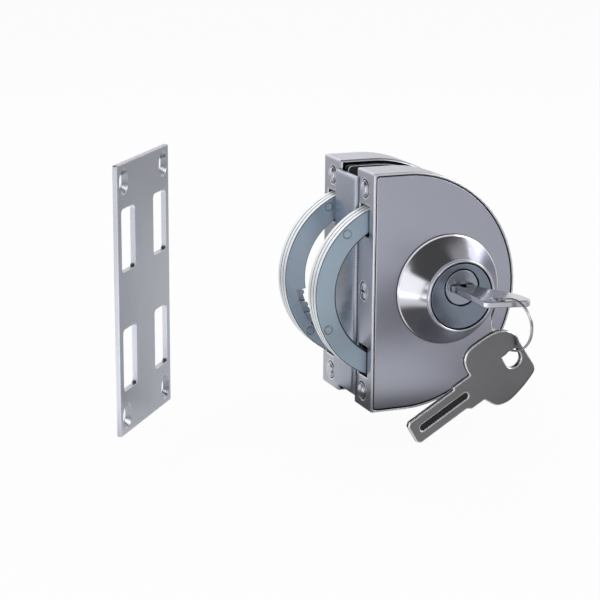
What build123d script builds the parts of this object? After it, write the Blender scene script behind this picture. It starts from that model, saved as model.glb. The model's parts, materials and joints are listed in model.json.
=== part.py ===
"""Crescent-bolt lock for a sliding glass door: two D-shaped cases clamp the
glass between them, one turn of the key swings a geared crescent bolt out of
each case and through a slotted strike plate.

Millimetres. X = 0 is the hook side of the cases and +X runs into the door,
Y = 0 is the middle of the glass with the cylinder on the -Y side, Z = 0 is
half height and +Z is up. The bolts are modelled thrown, as in use.
"""
from build123d import *
from math import acos, atan2, cos, degrees, hypot, pi, radians, sin, sqrt, tan
import os

os.makedirs("parts", exist_ok=True)

# Sizes
case_height = 110.0
case_straight = 16.0            # flat top and bottom before the arc begins
case_depth = 19.5
case_gap = 18.0                 # between the two cases
wall = 2.2
web_thickness = 1.8
face_plate_thickness = 1.2
rim_width = 1.0                 # rim of the case around the face plate
groove_width = 0.5
back_plate_thickness = 1.5
pad_thickness = 3.0
spacer_thickness = 1.0
glass_notch_height = 58.0
glass_notch_reach = 50.0

bolt_outer_radius = 41.2
bolt_inner_radius = 31.3
bolt_plate_thickness = 3.0
bolt_tip_x = 0.3                # the tip just enters the lower slot
bolt_tail_angle = 23.5
slot_height = 14.5
slot_width = 11.0

module = 2.0625
pressure_angle = radians(27.0)
bolt_teeth = 32                 # of a whole ring, only the used arc is cut
idler_teeth = 8
drive_teeth = 12
backlash = 0.14                 # taken off each half tooth
first_tooth_angle = 2.0

cylinder_x = 37.0
plug_rise = 4.0                 # plug axis above the cylinder axis
plug_radius = 8.0
cylinder_radius = 14.9
cone_height = 15.0
cone_base_radius = 25.3
lip_radius = 16.6
rosette_gap = 0.5               # the dark line round the cylinder
plug_gap = 0.55                 # the dark line round the plug

blade_width = 11.0
key_thickness = 2.8
blade_length = 25.0
key_groove_width = 3.2
key_groove_depth = 0.8
key_cuts = (0.2, 0.35, 0.15, 0.3, 0.25)     # depth of the dimples, first at the shoulder

strike_height = 119.4
strike_width = 59.8
strike_thickness = 2.3
strike_turn = 38.8              # of its face from the door line

# Worked out
arc_x = case_straight
arc_radius = case_height / 2
glass_side = case_gap / 2
outer_face = glass_side + case_depth
web_front = outer_face - face_plate_thickness
web_back = web_front - web_thickness
plate_front = glass_side + back_plate_thickness
pad_face = glass_side - pad_thickness
spacer_face = pad_face - spacer_thickness
glass_thickness = 2 * spacer_face

bolt_inner_face = glass_side + 5.0
bolt_gear_face = bolt_inner_face + bolt_plate_thickness
bolt_outer_plate_face = bolt_gear_face + bolt_plate_thickness
bolt_outer_face = bolt_outer_plate_face + bolt_plate_thickness
bolt_middle = (bolt_inner_face + bolt_outer_face) / 2

ring_pitch_radius = module * bolt_teeth / 2
idler_pitch_radius = module * idler_teeth / 2
drive_pitch_radius = module * drive_teeth / 2
plug_z = plug_rise
drive_reach = hypot(cylinder_x - arc_x, plug_z)
drive_angle = atan2(plug_z, cylinder_x - arc_x)
idler_reach = ring_pitch_radius - idler_pitch_radius
mesh_reach = idler_pitch_radius + drive_pitch_radius
reach_squares = idler_reach ** 2 + drive_reach ** 2 - mesh_reach ** 2
idler_angle = drive_angle + acos(reach_squares / (2 * idler_reach * drive_reach))
idler_x = arc_x + idler_reach * cos(idler_angle)
idler_z = idler_reach * sin(idler_angle)
bolt_outer_z = sqrt(bolt_outer_radius ** 2 - arc_x ** 2)
bolt_inner_z = sqrt(bolt_inner_radius ** 2 - arc_x ** 2)
slot_centre_z = (bolt_outer_z + bolt_inner_z) / 2
slot_middle = bolt_middle
drive_gear_face = bolt_inner_face - 0.8
drive_gear_back = drive_gear_face - 2.0

boss_ring = arc_radius - wall - 4.6
boss_angles = [radians(a) for a in (82, 28, -28, -82)]
boss_spots = [(arc_x + boss_ring * cos(a), boss_ring * sin(a)) for a in boss_angles]
clamp_spots = [(9.0, 14.0), (9.0, -14.0), (30.0, -20.5)]
side_screw_heights = (46.9, -46.9)


standing = (Align.CENTER, Align.CENTER, Align.MIN)
hanging = (Align.CENTER, Align.CENTER, Align.MAX)


def layer(distance):
    """A drawing plane parallel to the glass, this far out from its middle."""
    return Plane.XZ.offset(distance)


def d_face(inset, corner):
    """The D outline of a case, drawn in by an inset."""
    with BuildSketch() as face:
        with BuildLine():
            reach = arc_radius - inset
            Line((inset, reach), (arc_x, reach))
            ThreePointArc((arc_x, reach), (arc_x + reach, 0), (arc_x, -reach))
            Line((arc_x, -reach), (inset, -reach))
            Line((inset, -reach), (inset, reach))
        make_face()
        fillet(face.vertices().group_by(Axis.X)[0], corner)
    return face.sketch


def involute(angle):
    return tan(angle) - angle


def flank_angle(radius, teeth, internal):
    """Half the angle that a tooth takes up at a radius."""
    pitch_radius = module * teeth / 2
    base_radius = pitch_radius * cos(pressure_angle)
    half = (pi * module / 4 - backlash) / pitch_radius
    here = involute(acos(min(1.0, base_radius / radius)))
    if internal:
        return half - involute(pressure_angle) + here
    return half + involute(pressure_angle) - here


def gear_tooth(teeth, root_radius, tip_radius, internal):
    """One involute tooth pointing along +X from the gear's centre."""
    base_radius = module * teeth / 2 * cos(pressure_angle)
    low = max(min(root_radius, tip_radius), base_radius)
    high = max(root_radius, tip_radius)
    steps = [low + (high - low) * i / 5 for i in range(6)]
    halves = [flank_angle(r, teeth, internal) for r in steps]
    upper = [(r * cos(half), r * sin(half)) for r, half in zip(steps, halves)]
    lower = [(x, -y) for x, y in upper]
    with BuildSketch() as tooth:
        with BuildLine():
            Spline(*upper)
            Spline(*lower)
            if internal:
                ThreePointArc(upper[0], (tip_radius, 0), lower[0])
                outside = high + 1.0
                Polyline(upper[-1], (outside, upper[-1][1]), (outside, lower[-1][1]), lower[-1])
            else:
                ThreePointArc(upper[-1], (tip_radius, 0), lower[-1])
                inside = min(root_radius, low) - 1.0
                Polyline(upper[0], (inside, upper[0][1]), (inside, lower[0][1]), lower[0])
        make_face()
    return tooth.sketch


def spur_gear(teeth, root_radius, tip_radius, start):
    """A whole external gear outline with one tooth at the start angle."""
    with BuildSketch() as gear:
        Circle(root_radius)
        with PolarLocations(0, teeth, start_angle=start):
            add(gear_tooth(teeth, root_radius, tip_radius, False))
    return gear.sketch


def bolt_sector():
    """The crescent seen from the front, thrown out through the slots."""
    with BuildSketch() as crescent:
        with Locations((arc_x, 0)):
            Circle(bolt_outer_radius)
            Circle(bolt_inner_radius, mode=Mode.SUBTRACT)
        tail = radians(bolt_tail_angle)
        with BuildLine():
            far = 2 * bolt_outer_radius
            Polyline(
                (arc_x, 0),
                (arc_x + far * cos(tail), far * sin(tail)),
                (arc_x + far, -far),
                (bolt_tip_x, -far),
                (bolt_tip_x, -bolt_inner_radius * 0.6),
                close=True,
            )
        make_face(mode=Mode.SUBTRACT)
        fillet(crescent.vertices().sort_by(Axis.X)[-2:], 1.2)
    return crescent.sketch


def bolt_gap(first, last, radius):
    """The sector between two angles that is cut back for the teeth."""
    with BuildSketch() as gap:
        with BuildLine():
            a = radians(first)
            b = radians(last)
            m = (a + b) / 2
            Line((arc_x, 0), (arc_x + radius * cos(a), radius * sin(a)))
            ThreePointArc(
                (arc_x + radius * cos(a), radius * sin(a)),
                (arc_x + radius * cos(m), radius * sin(m)),
                (arc_x + radius * cos(b), radius * sin(b)),
            )
            Line((arc_x + radius * cos(b), radius * sin(b)), (arc_x, 0))
        make_face()
    return gap.sketch


def case_shell(hole_z, hole_radius):
    """A D-shaped cast case, open towards the glass."""
    with BuildPart() as shell:
        with BuildSketch(layer(glass_side)):
            add(d_face(0, 0.8))
        extrude(amount=case_depth)
        fillet(shell.edges().filter_by_position(Axis.Y, -outer_face - 0.01, -outer_face + 0.01), 0.6)
        fillet(shell.edges().filter_by_position(Axis.Y, -glass_side - 0.01, -glass_side + 0.01), 1.4)
        with BuildSketch(layer(glass_side)):
            add(d_face(wall, 1.0))
        extrude(amount=web_back - glass_side, mode=Mode.SUBTRACT)
        with BuildSketch(layer(web_front)):
            add(d_face(rim_width, 1.4))
        extrude(amount=face_plate_thickness + 1, mode=Mode.SUBTRACT)
        # arc rib around the path of the bolt, and the land it slides on
        with BuildSketch(layer(bolt_inner_face + 0.4)):
            with Locations((arc_x, 0)):
                Circle(bolt_outer_radius + 1.9)
                Circle(bolt_outer_radius + 0.3, mode=Mode.SUBTRACT)
            with Locations((arc_x - 60 - 2.5, 0)):
                Rectangle(120, 120, mode=Mode.SUBTRACT)
        extrude(amount=web_back - bolt_inner_face - 0.4)
        with BuildSketch(layer(bolt_outer_face + 0.2)):
            with Locations((arc_x, 0)):
                Circle(bolt_outer_radius + 1.0)
                Circle(bolt_outer_radius - 0.7, mode=Mode.SUBTRACT)
            with Locations((arc_x - 60 - 2.5, 0)):
                Rectangle(120, 120, mode=Mode.SUBTRACT)
        extrude(amount=web_back - bolt_outer_face - 0.2)
        # screw bosses
        with BuildSketch(layer(plate_front)):
            with Locations(*boss_spots):
                Circle(3.4)
            with Locations(*clamp_spots):
                Circle(3.6)
        extrude(amount=web_back - plate_front)
        with BuildSketch(layer(bolt_outer_plate_face + 0.2)):
            with Locations((idler_x, idler_z)):
                Circle(3.9)
        extrude(amount=web_back - bolt_outer_plate_face - 0.2)
        # bolt slots and the seats of the side screws
        with BuildSketch(Plane.YZ.offset(-1)):
            with Locations((-slot_middle, slot_centre_z), (-slot_middle, -slot_centre_z)):
                RectangleRounded(slot_width, slot_height, 0.6)
            with Locations(*[(-slot_middle, z) for z in side_screw_heights], (-slot_middle, 0)):
                Circle(2.1)
        extrude(amount=wall + 1.5, mode=Mode.SUBTRACT)
        with BuildSketch(Plane.YZ.offset(-1)):
            with Locations(*[(-slot_middle, z) for z in side_screw_heights], (-slot_middle, 0)):
                Circle(4.3)
        extrude(amount=1 + 0.9, mode=Mode.SUBTRACT)
        # opening for the cylinder or the turn
        with BuildSketch(layer(web_back - 1)):
            with Locations((cylinder_x, hole_z)):
                Circle(hole_radius)
        extrude(amount=web_thickness + face_plate_thickness + 2, mode=Mode.SUBTRACT)
    return shell.part


def face_plate(hole_z, hole_radius):
    """The flat D plate let into the front of a case."""
    with BuildPart() as plate:
        with BuildSketch(layer(web_front)):
            add(d_face(rim_width + groove_width, 1.2))
            with Locations((cylinder_x, hole_z)):
                Circle(hole_radius, mode=Mode.SUBTRACT)
        extrude(amount=face_plate_thickness)
        rim = plate.edges().filter_by_position(Axis.Y, -outer_face - 0.01, -outer_face + 0.01)
        chamfer(rim.filter_by(lambda e: e.bounding_box().size.Z > 40 or e.bounding_box().size.X > 10), 0.3)
    return plate.part


# Cases
with BuildPart() as front_case:
    add(case_shell(0.0, cylinder_radius + 0.05))
    with BuildSketch(layer(plate_front - 1)):
        with Locations(*boss_spots):
            Circle(1.25)
        with Locations(*clamp_spots):
            Circle(2.0)
    extrude(amount=12.0, mode=Mode.SUBTRACT)
    with BuildSketch(layer(bolt_outer_plate_face)):
        with Locations((idler_x, idler_z)):
            Circle(2.0)
    extrude(amount=4.6, mode=Mode.SUBTRACT)
front_case.part.label = "front_case"
export_step(front_case.part, "parts/front_case.step")

with BuildPart() as rear_case:
    add(mirror(case_shell(plug_z, 12.0), about=Plane.XZ))
    with BuildSketch(layer(-plate_front + 1)):
        with Locations(*boss_spots):
            Circle(1.25)
    extrude(amount=-12.0, mode=Mode.SUBTRACT)
    with BuildSketch(layer(-plate_front + 1)):
        with Locations(*clamp_spots):
            Circle(2.2)
    extrude(amount=-(outer_face - plate_front + 2), mode=Mode.SUBTRACT)
    with BuildSketch(layer(-bolt_outer_plate_face)):
        with Locations((idler_x, idler_z)):
            Circle(2.0)
    extrude(amount=-4.6, mode=Mode.SUBTRACT)
rear_case.part.label = "rear_case"
export_step(rear_case.part, "parts/rear_case.step")

with BuildPart() as front_face_plate:
    add(face_plate(0.0, cylinder_radius + 0.05))
front_face_plate.part.label = "front_face_plate"
export_step(front_face_plate.part, "parts/front_face_plate.step")

with BuildPart() as rear_face_plate:
    add(mirror(face_plate(plug_z, 12.0), about=Plane.XZ))
    with BuildSketch(layer(-web_front)):
        with Locations(*clamp_spots):
            Circle(4.1)
    extrude(amount=-face_plate_thickness, mode=Mode.SUBTRACT)
rear_face_plate.part.label = "rear_face_plate"
export_step(rear_face_plate.part, "parts/rear_face_plate.step")

with BuildPart() as front_back_plate:
    with BuildSketch(layer(glass_side)):
        add(d_face(wall + 0.1, 1.0))
        with Locations((cylinder_x, plug_z)):
            Circle(6.08, mode=Mode.SUBTRACT)
        with Locations((idler_x, idler_z)):
            Circle(2.0, mode=Mode.SUBTRACT)
        with Locations(*boss_spots):
            Circle(1.3, mode=Mode.SUBTRACT)
        with Locations(*clamp_spots):
            Circle(2.1, mode=Mode.SUBTRACT)
    extrude(amount=back_plate_thickness)
    with Locations(*[Location((x, -glass_side, z), (90, 0, 0)) for x, z in boss_spots]):
        Cone(2.55, 1.3, 1.25, align=standing, mode=Mode.SUBTRACT)
front_back_plate.part.label = "front_back_plate"
export_step(front_back_plate.part, "parts/front_back_plate.step")

with BuildPart() as rear_back_plate:
    add(mirror(front_back_plate.part, about=Plane.XZ))
rear_back_plate.part.label = "rear_back_plate"
export_step(rear_back_plate.part, "parts/rear_back_plate.step")

with BuildPart() as front_rubber_pad:
    with BuildSketch(layer(pad_face)):
        add(d_face(2.6, 2.0))
        with Locations((glass_notch_reach - 60, 0)):
            Rectangle(120, glass_notch_height, mode=Mode.SUBTRACT)
    extrude(amount=pad_thickness)
front_rubber_pad.part.label = "front_rubber_pad"
export_step(front_rubber_pad.part, "parts/front_rubber_pad.step")

with BuildPart() as rear_rubber_pad:
    add(mirror(front_rubber_pad.part, about=Plane.XZ))
rear_rubber_pad.part.label = "rear_rubber_pad"
export_step(rear_rubber_pad.part, "parts/rear_rubber_pad.step")

with BuildPart() as front_glass_spacer:
    with BuildSketch(layer(spacer_face)):
        add(d_face(2.2, 2.0))
        with Locations((glass_notch_reach - 60, 0)):
            Rectangle(120, glass_notch_height, mode=Mode.SUBTRACT)
    extrude(amount=spacer_thickness)
front_glass_spacer.part.label = "front_glass_spacer"
export_step(front_glass_spacer.part, "parts/front_glass_spacer.step")

with BuildPart() as rear_glass_spacer:
    add(mirror(front_glass_spacer.part, about=Plane.XZ))
rear_glass_spacer.part.label = "rear_glass_spacer"
export_step(rear_glass_spacer.part, "parts/rear_glass_spacer.step")

# Edge bar
bar_width = 21.0
bar_height = 102.0
bar_stand = 2.8
with BuildPart() as edge_bar:
    with Locations((-bar_stand / 2, 0, 0)):
        Box(bar_stand, bar_width, bar_height)
    fillet(edge_bar.edges().filter_by(Axis.Z).group_by(Axis.X)[0], 0.8)
    chamfer(edge_bar.edges().group_by(Axis.X)[0].filter_by(Axis.Y), 0.6)
    with Locations((0.5, 0, 0)):
        Box(1.0, case_gap - 0.1, bar_height - 8)
    # the glass stops against this rib
    with Locations((1.0, 0, 0)):
        Box(2.0, glass_thickness - 0.1, bar_height - 8)
edge_bar.part.label = "edge_bar"
export_step(edge_bar.part, "parts/edge_bar.step")

# Guide plates
with BuildPart() as front_guide_plate:
    with BuildSketch(Plane.YZ.offset(wall)):
        with Locations((-slot_middle, 0)):
            Rectangle(13.4, case_height - 2 * wall - 2.2)
        with Locations((-slot_middle, slot_centre_z + 0.4), (-slot_middle, -slot_centre_z - 0.4)):
            Rectangle(slot_width, slot_height + 1.6, mode=Mode.SUBTRACT)
        with Locations(*[(-slot_middle, z) for z in side_screw_heights], (-slot_middle, 0)):
            Circle(2.06, mode=Mode.SUBTRACT)
    extrude(amount=2.8)
front_guide_plate.part.label = "front_guide_plate"
export_step(front_guide_plate.part, "parts/front_guide_plate.step")

with BuildPart() as rear_guide_plate:
    add(mirror(front_guide_plate.part, about=Plane.XZ))
rear_guide_plate.part.label = "rear_guide_plate"
export_step(rear_guide_plate.part, "parts/rear_guide_plate.step")

# Side screws
with BuildPart() as dome_screw:
    Cylinder(2.0, wall + 2.6, rotation=(0, 90, 0), align=standing)
    with Locations((0.9, 0, 0)):
        Cylinder(3.8, 0.9, rotation=(0, -90, 0), align=standing)
    with BuildSketch(Plane.XZ):
        with BuildLine():
            Line((0, 0), (0, 3.8))
            ThreePointArc((0, 3.8), (-1.15, 2.3), (-1.7, 0))
            Line((-1.7, 0), (0, 0))
        make_face()
    revolve(axis=Axis.X)

with BuildPart() as side_dome_screws:
    for side in (-1, 1):
        for height in side_screw_heights:
            with Locations((0, side * slot_middle, height)):
                add(dome_screw.part)
side_dome_screws.part.label = "side_dome_screws"
export_step(side_dome_screws.part, "parts/side_dome_screws.step")

with BuildPart() as cross_screw:
    Cylinder(2.0, wall + 2.6, rotation=(0, 90, 0), align=standing)
    with BuildSketch(Plane.XZ):
        with BuildLine():
            Line((0.9, 0), (0.9, 3.9))
            Line((0.9, 3.9), (0.2, 3.9))
            ThreePointArc((0.2, 3.9), (-0.45, 2.2), (-0.65, 0))
            Line((-0.65, 0), (0.9, 0))
        make_face()
    revolve(axis=Axis.X)
    with Locations((-0.65, 0, 0)):
        Box(2.4, 0.9, 4.4, mode=Mode.SUBTRACT)
        Box(2.4, 4.4, 0.9, mode=Mode.SUBTRACT)

with BuildPart() as side_cross_screws:
    for side in (-1, 1):
        with Locations((0, side * slot_middle, 0)):
            add(cross_screw.part)
side_cross_screws.part.label = "side_cross_screws"
export_step(side_cross_screws.part, "parts/side_cross_screws.step")

# Screws through the plates
with BuildPart() as back_plate_screws:
    for side in (-1, 1):
        for x, z in boss_spots:
            with Locations((x, side * glass_side, z)):
                with Locations(Location((0, 0, 0), (90 if side < 0 else -90, 0, 0))):
                    Cylinder(1.25, 9.0, align=standing)
                    Cone(2.5, 1.25, 1.25, align=standing)
back_plate_screws.part.label = "back_plate_screws"
export_step(back_plate_screws.part, "parts/back_plate_screws.step")

with BuildPart() as clamp_screws:
    for x, z in clamp_spots:
        with Locations(Location((x, outer_face, z), (90, 0, 0))):
            Cylinder(2.0, outer_face + plate_front + 9.5, align=standing)
            Cylinder(4.0, face_plate_thickness, align=standing)
        with Locations(Location((x, outer_face, z), (90, 0, 0))):
            Cylinder(1.35, 0.8, align=standing, mode=Mode.SUBTRACT)
clamp_screws.part.label = "clamp_screws"
export_step(clamp_screws.part, "parts/clamp_screws.step")

# Crescent bolts
tooth_root = ring_pitch_radius + 2.3
tooth_tip = ring_pitch_radius - 1.5
tooth_pitch = 360.0 / bolt_teeth
tooth_numbers = [n for n in range(bolt_teeth) if 40.0 < first_tooth_angle + tooth_pitch * n < 217.0]
first_cut = first_tooth_angle + tooth_pitch * (tooth_numbers[0] - 0.5)
last_cut = first_tooth_angle + tooth_pitch * (tooth_numbers[-1] + 0.5)
front_rivet_angles = (30.0, 62.0, 133.5, 204.0)
rear_rivet_angles = (30.0, 62.0, 121.0, 222.0)
rivet_head_radius = 2.1
rivet_head_height = 0.2
rivet_ring = 38.2
seam_chamfer = 0.3              # the seams between the plates show as dark lines
inner_bevel = 0.8


def rivet_spots(angles):
    return [(arc_x + rivet_ring * cos(radians(a)), rivet_ring * sin(radians(a))) for a in angles]


def arc_edges(part, radius):
    """The long edges of a bolt plate that run along one radius."""
    def on_arc(edge):
        x, y, z = edge @ 0.5
        return abs(hypot(x - arc_x, z) - radius) < 0.1 and edge.length > 1.2 * radius

    return part.edges().filter_by(on_arc)


def outer_plate(angles):
    """The plate of a bolt that faces away from the glass."""
    with BuildPart() as plate:
        with BuildSketch(layer(bolt_outer_plate_face)):
            add(bolt_sector())
            with Locations(*rivet_spots(angles)):
                Circle(1.5, mode=Mode.SUBTRACT)
        extrude(amount=bolt_plate_thickness)
        chamfer(plate.faces().sort_by(Axis.Y)[0].outer_wire().edges(), seam_chamfer)
        chamfer(arc_edges(plate, bolt_outer_radius).sort_by(Axis.Y)[-1], seam_chamfer)
        bevel_start = (arc_x, -bolt_outer_face + inner_bevel, 0)
        with Locations(Location(bevel_start, (90, 0, 0))):
            Cone(
                bolt_inner_radius,
                bolt_inner_radius + inner_bevel + 0.2,
                inner_bevel + 0.2,
                align=standing,
                mode=Mode.SUBTRACT,
            )
    return plate.part


def gear_plate(angles):
    """The middle plate of a bolt, with the teeth on its inner edge."""
    with BuildPart() as plate:
        with BuildSketch(layer(bolt_gear_face)):
            add(bolt_sector())
            add(bolt_gap(first_cut, last_cut, tooth_root), mode=Mode.SUBTRACT)
            for n in tooth_numbers:
                with Locations(Location((arc_x, 0, 0), (0, 0, first_tooth_angle + tooth_pitch * n))):
                    add(gear_tooth(bolt_teeth, tooth_root, tooth_tip, True))
            with Locations(*rivet_spots(angles)):
                Circle(1.5, mode=Mode.SUBTRACT)
        extrude(amount=bolt_plate_thickness)
        chamfer(arc_edges(plate, bolt_outer_radius), seam_chamfer)
    return plate.part


def inner_plate(angles):
    """The plate of a bolt on the glass side, cut back near the tip."""
    with BuildPart() as plate:
        with BuildSketch(layer(bolt_inner_face)):
            add(bolt_sector())
            add(bolt_gap(189.0, last_cut + 1.0, tooth_root + 0.4), mode=Mode.SUBTRACT)
            with Locations(*rivet_spots(angles)):
                Circle(1.5, mode=Mode.SUBTRACT)
        extrude(amount=bolt_plate_thickness)
        chamfer(arc_edges(plate, bolt_outer_radius), seam_chamfer)
    return plate.part


def rivet_set(angles):
    """Rivets with low, nearly flush heads on both faces of the bolt."""
    with BuildPart() as rivets:
        with BuildSketch(layer(bolt_inner_face)):
            with Locations(*rivet_spots(angles)):
                Circle(1.5)
        extrude(amount=3 * bolt_plate_thickness)
        with BuildSketch(layer(bolt_outer_face)):
            with Locations(*rivet_spots(angles)):
                Circle(rivet_head_radius)
        extrude(amount=rivet_head_height, taper=50)
        with BuildSketch(layer(bolt_inner_face)):
            with Locations(*rivet_spots(angles)):
                Circle(rivet_head_radius)
        extrude(amount=-rivet_head_height, taper=50)
    return rivets.part


with BuildPart() as front_bolt_outer_plate:
    add(outer_plate(front_rivet_angles))
front_bolt_outer_plate.part.label = "front_bolt_outer_plate"
export_step(front_bolt_outer_plate.part, "parts/front_bolt_outer_plate.step")

with BuildPart() as front_bolt_gear_plate:
    add(gear_plate(front_rivet_angles))
front_bolt_gear_plate.part.label = "front_bolt_gear_plate"
export_step(front_bolt_gear_plate.part, "parts/front_bolt_gear_plate.step")

with BuildPart() as front_bolt_inner_plate:
    add(inner_plate(front_rivet_angles))
front_bolt_inner_plate.part.label = "front_bolt_inner_plate"
export_step(front_bolt_inner_plate.part, "parts/front_bolt_inner_plate.step")

with BuildPart() as front_bolt_rivets:
    add(rivet_set(front_rivet_angles))
front_bolt_rivets.part.label = "front_bolt_rivets"
export_step(front_bolt_rivets.part, "parts/front_bolt_rivets.step")

with BuildPart() as rear_bolt_outer_plate:
    add(mirror(outer_plate(rear_rivet_angles), about=Plane.XZ))
rear_bolt_outer_plate.part.label = "rear_bolt_outer_plate"
export_step(rear_bolt_outer_plate.part, "parts/rear_bolt_outer_plate.step")

with BuildPart() as rear_bolt_gear_plate:
    add(mirror(gear_plate(rear_rivet_angles), about=Plane.XZ))
rear_bolt_gear_plate.part.label = "rear_bolt_gear_plate"
export_step(rear_bolt_gear_plate.part, "parts/rear_bolt_gear_plate.step")

with BuildPart() as rear_bolt_inner_plate:
    add(mirror(inner_plate(rear_rivet_angles), about=Plane.XZ))
rear_bolt_inner_plate.part.label = "rear_bolt_inner_plate"
export_step(rear_bolt_inner_plate.part, "parts/rear_bolt_inner_plate.step")

with BuildPart() as rear_bolt_rivets:
    add(mirror(rivet_set(rear_rivet_angles), about=Plane.XZ))
rear_bolt_rivets.part.label = "rear_bolt_rivets"
export_step(rear_bolt_rivets.part, "parts/rear_bolt_rivets.step")

# Gear train
idler_root = idler_pitch_radius - 1.95
idler_tip = idler_pitch_radius + 1.7
drive_root = drive_pitch_radius - 2.1
drive_tip = drive_pitch_radius + 1.55
mesh_angle = degrees(idler_angle)
near_tooth = round((mesh_angle - first_tooth_angle) / tooth_pitch)
tooth_lead = first_tooth_angle + tooth_pitch * near_tooth - mesh_angle
idler_start = mesh_angle + tooth_lead * bolt_teeth / idler_teeth + 180.0 / idler_teeth
drive_way = degrees(atan2(plug_z - idler_z, cylinder_x - idler_x))
idler_pitch = 360.0 / idler_teeth
idler_lead = idler_start + idler_pitch * round((drive_way - idler_start) / idler_pitch) - drive_way
drive_start = drive_way + 180.0 - idler_lead * idler_teeth / drive_teeth + 180.0 / drive_teeth
axle_radius = 2.0
spindle_size = 6.0

with BuildPart() as front_idler:
    with BuildSketch(layer(bolt_gear_face + 0.2)):
        with Locations((idler_x, idler_z)):
            add(spur_gear(idler_teeth, idler_root, idler_tip, idler_start))
    extrude(amount=bolt_plate_thickness - 0.4)
    with BuildSketch(layer(drive_gear_back)):
        with Locations((idler_x, idler_z)):
            add(spur_gear(idler_teeth, idler_root, idler_tip, idler_start))
    extrude(amount=drive_gear_face - drive_gear_back)
    with BuildSketch(layer(drive_gear_face)):
        with Locations((idler_x, idler_z)):
            Circle(5.2)
    extrude(amount=bolt_gear_face + 0.2 - drive_gear_face)
    with BuildSketch(layer(plate_front + 0.1)):
        with Locations((idler_x, idler_z)):
            Circle(3.4)
    extrude(amount=bolt_outer_plate_face - plate_front)
    with BuildSketch(layer(plate_front)):
        with Locations((idler_x, idler_z)):
            Circle(axle_radius + 0.08)
    extrude(amount=bolt_outer_face - plate_front, mode=Mode.SUBTRACT)
front_idler.part.label = "front_idler"
export_step(front_idler.part, "parts/front_idler.step")

with BuildPart() as rear_idler:
    add(mirror(front_idler.part, about=Plane.XZ))
rear_idler.part.label = "rear_idler"
export_step(rear_idler.part, "parts/rear_idler.step")

with BuildPart() as front_idler_axle:
    with BuildSketch(layer(glass_side)):
        with Locations((idler_x, idler_z)):
            Circle(axle_radius)
    extrude(amount=bolt_outer_plate_face + 4.5 - glass_side)
front_idler_axle.part.label = "front_idler_axle"
export_step(front_idler_axle.part, "parts/front_idler_axle.step")

with BuildPart() as rear_idler_axle:
    add(mirror(front_idler_axle.part, about=Plane.XZ))
rear_idler_axle.part.label = "rear_idler_axle"
export_step(rear_idler_axle.part, "parts/rear_idler_axle.step")

with BuildPart() as front_drive_gear:
    with BuildSketch(layer(drive_gear_back)):
        with Locations((cylinder_x, plug_z)):
            add(spur_gear(drive_teeth, drive_root, drive_tip, drive_start))
    extrude(amount=drive_gear_face - drive_gear_back)
    with BuildSketch(layer(glass_side + 0.2)):
        with Locations((cylinder_x, plug_z)):
            Circle(6.0)
    extrude(amount=drive_gear_back - glass_side - 0.2)
    with BuildSketch(layer(glass_side)):
        with Locations((cylinder_x, plug_z)):
            Rectangle(spindle_size + 0.06, spindle_size + 0.06)
    extrude(amount=8.0, mode=Mode.SUBTRACT)
front_drive_gear.part.label = "front_drive_gear"
export_step(front_drive_gear.part, "parts/front_drive_gear.step")

with BuildPart() as rear_drive_gear:
    add(mirror(front_drive_gear.part, about=Plane.XZ))
rear_drive_gear.part.label = "rear_drive_gear"
export_step(rear_drive_gear.part, "parts/rear_drive_gear.step")

# Cylinder
lip_face = outer_face + cone_height
cylinder_face = lip_face - 0.3
plug_back = drive_gear_face + 0.4
cylinder_back = bolt_outer_face + 1.2
key_shoulder = cylinder_face
blade_tip = key_shoulder - blade_length
pin_spacing = 3.2
pin_places = [key_shoulder - 4.0 - pin_spacing * n for n in range(5)]
pin_radius = 1.1

with BuildPart() as cylinder_rosette:
    with BuildSketch(Plane(origin=(cylinder_x, 0, 0), x_dir=(1, 0, 0), z_dir=(0, 0, 1))):
        with BuildLine():
            Polyline(
                (cylinder_radius + rosette_gap, -outer_face),
                (cone_base_radius, -outer_face),
                (cone_base_radius, -outer_face - 0.8),
            )
            Line((cone_base_radius, -outer_face - 0.8), (cone_base_radius - 0.6, -outer_face - 1.2))
            ThreePointArc(
                (cone_base_radius - 0.6, -outer_face - 1.2),
                ((cone_base_radius + lip_radius) / 2 - 0.7, -(outer_face + lip_face) / 2 + 0.4),
                (lip_radius + 0.2, -lip_face + 1.6),
            )
            Line((lip_radius + 0.2, -lip_face + 1.6), (lip_radius, -lip_face + 0.6))
            ThreePointArc(
                (lip_radius, -lip_face + 0.6),
                ((lip_radius + cylinder_radius + rosette_gap) / 2, -lip_face),
                (cylinder_radius + rosette_gap, -lip_face + 0.5),
            )
            Line((cylinder_radius + rosette_gap, -lip_face + 0.5), (cylinder_radius + rosette_gap, -outer_face))
        make_face()
    revolve(axis=Axis((cylinder_x, 0, 0), (0, 1, 0)))
cylinder_rosette.part.label = "cylinder_rosette"
export_step(cylinder_rosette.part, "parts/cylinder_rosette.step")

with BuildPart() as cylinder_body:
    with BuildSketch(layer(cylinder_back)):
        with Locations((cylinder_x, 0)):
            Circle(cylinder_radius)
        with Locations((cylinder_x, plug_z)):
            Circle(plug_radius + 0.08, mode=Mode.SUBTRACT)
    extrude(amount=cylinder_face - cylinder_back)
    with BuildSketch(layer(cylinder_face)):
        with Locations((cylinder_x, plug_z)):
            Circle(plug_radius + plug_gap)
    extrude(amount=-1.6, mode=Mode.SUBTRACT)
    chamfer(cylinder_body.faces().sort_by(Axis.Y)[0].edges(), 0.2)
    with Locations(*[(cylinder_x, -d, 0) for d in pin_places]):
        Cylinder(pin_radius + 0.05, cylinder_radius + 1, align=hanging, mode=Mode.SUBTRACT)
cylinder_body.part.label = "cylinder_body"
export_step(cylinder_body.part, "parts/cylinder_body.step")

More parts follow.
